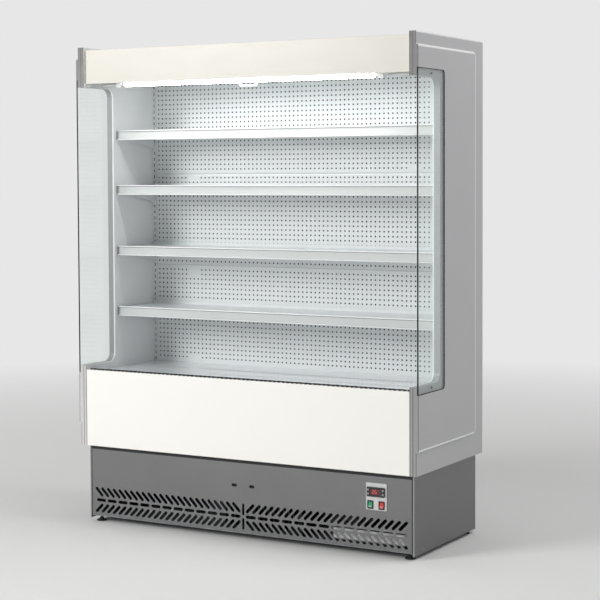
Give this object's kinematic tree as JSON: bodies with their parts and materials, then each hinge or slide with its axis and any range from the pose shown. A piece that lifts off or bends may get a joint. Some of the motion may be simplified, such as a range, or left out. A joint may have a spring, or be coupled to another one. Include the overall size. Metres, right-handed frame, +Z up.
{
  "type": "open multideck display fridge",
  "caption": "Open-fronted refrigerated wall display with glass-sided panels, shelves, a night blind in the canopy and a machine base with controls.",
  "frame": {"origin": "on the floor under the middle of the fridge", "axes": "+Z up, the open front faces -Y, +X to the right seen from the front"},
  "size_m": [1.518, 0.6, 1.916],
  "materials": {
    "white_enamel": "smooth white powder coat",
    "cream_enamel": "smooth cream powder coat",
    "grey_moulding": "satin light-grey moulding",
    "side_glass": "polished toughened glass",
    "grey_base_paint": "metallic grey paint",
    "galvanised_steel": "galvanised sheet",
    "pale_plate": "light-grey plate",
    "black_plastic": "black moulded plastic",
    "grey_key": "grey keys",
    "green_rocker": "translucent green cap",
    "red_rocker": "translucent red cap",
    "aluminium_fins": "bare aluminium fins",
    "black_enamel": "black stoved enamel",
    "copper_pipe": "bare copper",
    "pipe_insulation": "foam sleeve",
    "foot_plastic": "black levelling foot",
    "label_rail": "pale grey extrusion",
    "lamp_glass": "lit white tube",
    "blind_cloth": "pale woven blind cloth",
    "pull_bar": "white coated extrusion"
  },
  "bodies": {
    "cabinet": {"base_frame": "galvanised_steel", "base_front_grille": "grey_base_paint", "base_side_left": "grey_base_paint", "base_side_right": "grey_base_paint", "base_rear_grille": "grey_base_paint", "cable_gland": "black_plastic", "control_plate": "pale_plate", "controller": "black_plastic", "power_switch_housing": "black_plastic", "light_switch_housing": "black_plastic", "condenser_coil": "aluminium_fins", "condenser_fan_shroud": "black_enamel", "compressor": "black_enamel", "condensate_pan": "galvanised_steel", "discharge_pipe": "copper_pipe", "suction_line": "pipe_insulation", "cabinet_carcass": "white_enamel", "front_panel": "white_enamel", "side_panel_left": "grey_moulding", "side_panel_right": "grey_moulding", "side_glass_left": "side_glass", "side_glass_right": "side_glass", "return_air_grille": "white_enamel", "deck_tray": "white_enamel", "back_panel_lower": "white_enamel", "back_panel_middle": "white_enamel", "back_panel_upper": "white_enamel", "upright_left": "white_enamel", "upright_right": "white_enamel", "shelf_1": "white_enamel", "shelf_2": "white_enamel", "shelf_3": "white_enamel", "shelf_4": "white_enamel", "label_rail_1": "label_rail", "label_rail_2": "label_rail", "label_rail_3": "label_rail", "label_rail_4": "label_rail", "canopy_fascia": "cream_enamel", "lamp_tube": "lamp_glass", "lamp_carrier": "white_enamel", "blind_bracket": "galvanised_steel", "blind_curtain": "blind_cloth", "air_outlet_duct": "white_enamel", "evaporator_coil": "aluminium_fins", "evaporator_fan_plate": "galvanised_steel"},
    "blind_bar": {"blind_pull_bar": "pull_bar"},
    "blind_roller": {"blind_roller": "blind_cloth"},
    "condenser_fan": {"condenser_fan": "black_plastic"},
    "evaporator_fan_left": {"evaporator_fan_left": "black_plastic"},
    "evaporator_fan_right": {"evaporator_fan_right": "black_plastic"},
    "power_rocker": {"power_rocker": "green_rocker"},
    "light_rocker": {"light_rocker": "red_rocker"},
    "key_set": {"key_set": "grey_key"},
    "key_standby": {"key_standby": "grey_key"},
    "key_up": {"key_up": "grey_key"},
    "key_down": {"key_down": "grey_key"},
    "foot_front_left": {"foot_front_left": "foot_plastic"},
    "foot_front_right": {"foot_front_right": "foot_plastic"},
    "foot_rear_left": {"foot_rear_left": "foot_plastic"},
    "foot_rear_right": {"foot_rear_right": "foot_plastic"}
  },
  "joints": [
    {"name": "blind_pull", "type": "slide", "parent": "cabinet", "child": "blind_bar", "axis": [0, 0, -1], "range_m": [0, 1.12], "stiffness_N_per_m": 10, "springref_m": -1.5, "deforming": ["blind_curtain"]},
    {"name": "blind_roll", "type": "hinge", "parent": "cabinet", "child": "blind_roller", "pos_m": [0, -0.192, 1.835], "axis": [1, 0, 0], "range_deg": [0, 2860]},
    {"name": "condenser_fan_spin", "type": "hinge", "parent": "cabinet", "child": "condenser_fan", "pos_m": [0.06, -0.168, 0.1413], "axis": [0, 1, 0], "continuous": true},
    {"name": "evaporator_fan_left_spin", "type": "hinge", "parent": "cabinet", "child": "evaporator_fan_left", "pos_m": [-0.32, -0.147, 0.48275], "axis": [0, 1, 0], "continuous": true},
    {"name": "evaporator_fan_right_spin", "type": "hinge", "parent": "cabinet", "child": "evaporator_fan_right", "pos_m": [0.32, -0.147, 0.48275], "axis": [0, 1, 0], "continuous": true},
    {"name": "power_rocker_tilt", "type": "hinge", "parent": "cabinet", "child": "power_rocker", "pos_m": [0.55125, -0.2731, 0.1925], "axis": [1, 0, 0], "range_deg": [0, 18]},
    {"name": "light_rocker_tilt", "type": "hinge", "parent": "cabinet", "child": "light_rocker", "pos_m": [0.59775, -0.2731, 0.1925], "axis": [1, 0, 0], "range_deg": [0, 18]},
    {"name": "key_set_press", "type": "slide", "parent": "cabinet", "child": "key_set", "axis": [0, 1, 0], "range_m": [0, 0.0008], "stiffness_N_per_m": 300, "springref_m": -0.001},
    {"name": "key_standby_press", "type": "slide", "parent": "cabinet", "child": "key_standby", "axis": [0, 1, 0], "range_m": [0, 0.0008], "stiffness_N_per_m": 300, "springref_m": -0.001},
    {"name": "key_up_press", "type": "slide", "parent": "cabinet", "child": "key_up", "axis": [0, 1, 0], "range_m": [0, 0.0008], "stiffness_N_per_m": 300, "springref_m": -0.001},
    {"name": "key_down_press", "type": "slide", "parent": "cabinet", "child": "key_down", "axis": [0, 1, 0], "range_m": [0, 0.0008], "stiffness_N_per_m": 300, "springref_m": -0.001},
    {"name": "foot_front_left_screw", "type": "slide", "parent": "cabinet", "child": "foot_front_left", "axis": [0, 0, -1], "range_m": [0, 0.015]},
    {"name": "foot_front_right_screw", "type": "slide", "parent": "cabinet", "child": "foot_front_right", "axis": [0, 0, -1], "range_m": [0, 0.015]},
    {"name": "foot_rear_left_screw", "type": "slide", "parent": "cabinet", "child": "foot_rear_left", "axis": [0, 0, -1], "range_m": [0, 0.015]},
    {"name": "foot_rear_right_screw", "type": "slide", "parent": "cabinet", "child": "foot_rear_right", "axis": [0, 0, -1], "range_m": [0, 0.015]}
  ],
  "couplings": [
    {"joint": "blind_roll", "follows": "blind_pull", "rad_per_m": 44.444}
  ]
}
